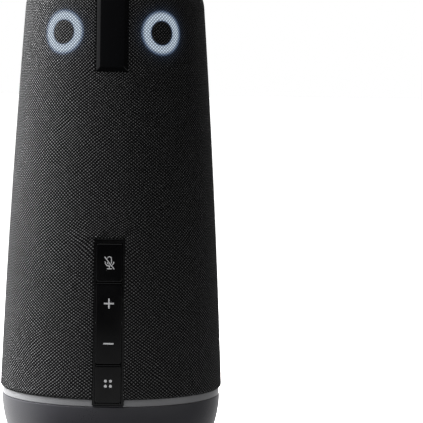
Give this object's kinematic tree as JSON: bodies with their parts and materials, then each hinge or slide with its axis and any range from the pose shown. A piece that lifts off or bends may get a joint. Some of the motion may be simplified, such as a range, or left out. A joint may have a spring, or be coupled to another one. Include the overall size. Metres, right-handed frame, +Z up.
{
  "type": "conference speakerphone",
  "caption": "Tall tapered table-top conference speakerphone with a camera dome, fabric-wrapped round tower, glowing light rings, an upright key strip and a rounded grey base.",
  "frame": {"origin": "centre of the rubber foot's underside, on the table", "axes": "+Z up along the tower, -Y out of the front where the keys and light rings are, +X to the right as seen from the front's own left hand side, that is to the viewer's right"},
  "size_m": [0.1108, 0.1118, 0.273],
  "materials": {
    "base_plastic": "fine satin moulded plastic",
    "trim_grey": "satin grey paint",
    "speaker_fabric": "knitted grey and black acoustic fabric",
    "gloss_black": "polished black",
    "satin_black": "satin black",
    "black_plastic": "fine textured black",
    "key_black": "soft-touch black",
    "icon_white": "printed light grey",
    "rubber_black": "matt black rubber",
    "silicone": "translucent grey silicone",
    "brass": "turned",
    "steel": "zinc plated",
    "black_steel": "black coated",
    "black_metal": "matt black anodised",
    "ferrite": "dark ferrite and plated iron",
    "paper_cone": "black coated cone",
    "aluminium": "bead blasted",
    "circuit_board": "green solder mask",
    "chip_black": "moulded black",
    "white_plastic": "white reflector",
    "light_guide": "milky diffuser, lit",
    "led": "lit diode",
    "lens_glass": "coated glass",
    "ribbon": "polyimide film"
  },
  "bodies": {
    "tower": {"rubber_foot": "rubber_black", "bottom_plate": "base_plastic", "tripod_insert": "brass", "ballast_plate": "steel", "base_shell": "base_plastic", "base_screws": "black_steel", "port_plate": "black_plastic", "port_board": "circuit_board", "usb_socket": "steel", "power_jack": "black_plastic", "trim_ring": "trim_grey", "core_front": "black_plastic", "core_rear": "black_plastic", "fabric_sleeve": "speaker_fabric", "front_bar": "gloss_black", "rear_strip": "satin_black", "key_bezel": "satin_black", "key_board": "circuit_board", "key_pad": "silicone", "rocker_pin": "steel", "mute_dome": "silicone", "volume_domes": "silicone", "menu_dome": "silicone", "top_cap": "gloss_black", "camera_bracket": "aluminium", "sensor_board": "circuit_board", "lens_barrel": "black_metal", "lens_elements": "lens_glass", "lens_dome": "lens_glass", "lens_collar": "gloss_black", "mic_board": "circuit_board", "microphones": "brass", "light_rings": "light_guide", "ring_cups": "white_plastic", "ring_boards": "circuit_board", "ring_leds": "led", "main_board": "circuit_board", "board_parts": "chip_black", "heat_sink": "aluminium", "inner_screws": "steel", "bulkheads": "black_plastic", "camera_ribbon": "ribbon", "speaker_front_basket": "black_steel", "speaker_front_motor": "ferrite", "speaker_front_suspension": "rubber_black", "speaker_right_basket": "black_steel", "speaker_right_motor": "ferrite", "speaker_right_suspension": "rubber_black", "speaker_left_basket": "black_steel", "speaker_left_motor": "ferrite", "speaker_left_suspension": "rubber_black"},
    "mute_key": {"mute_key": "key_black", "mute_icon": "icon_white"},
    "volume_rocker": {"volume_rocker": "key_black", "volume_icons": "icon_white"},
    "menu_key": {"menu_key": "key_black", "menu_icon": "icon_white"},
    "front_cone": {"speaker_front_cone": "paper_cone"},
    "right_cone": {"speaker_right_cone": "paper_cone"},
    "left_cone": {"speaker_left_cone": "paper_cone"}
  },
  "joints": [
    {"name": "mute_press", "type": "slide", "parent": "tower", "child": "mute_key", "axis": [0, 0.9988, -0.0488], "range_m": [0, 0.0006], "stiffness_N_per_m": 1200, "springref_m": -0.0004, "deforming": ["mute_dome"]},
    {"name": "volume_rock", "type": "hinge", "parent": "tower", "child": "volume_rocker", "pos_m": [0, -0.05083, 0.0674], "axis": [1, 0, 0], "range_deg": [-2, 2], "stiffness_Nm_per_rad": 0.4, "deforming": ["volume_domes"]},
    {"name": "menu_press", "type": "slide", "parent": "tower", "child": "menu_key", "axis": [0, 0.9988, -0.0488], "range_m": [0, 0.0006], "stiffness_N_per_m": 1200, "springref_m": -0.0004, "deforming": ["menu_dome"]},
    {"name": "front_cone_travel", "type": "slide", "parent": "tower", "child": "front_cone", "axis": [0, -0.9981, 0.0619], "range_m": [-0.0015, 0.0015], "stiffness_N_per_m": 700, "deforming": ["speaker_front_suspension"]},
    {"name": "right_cone_travel", "type": "slide", "parent": "tower", "child": "right_cone", "axis": [0.8644, 0.499, 0.0619], "range_m": [-0.0015, 0.0015], "stiffness_N_per_m": 700, "deforming": ["speaker_right_suspension"]},
    {"name": "left_cone_travel", "type": "slide", "parent": "tower", "child": "left_cone", "axis": [-0.8644, 0.499, 0.0619], "range_m": [-0.0015, 0.0015], "stiffness_N_per_m": 700, "deforming": ["speaker_left_suspension"]}
  ]
}
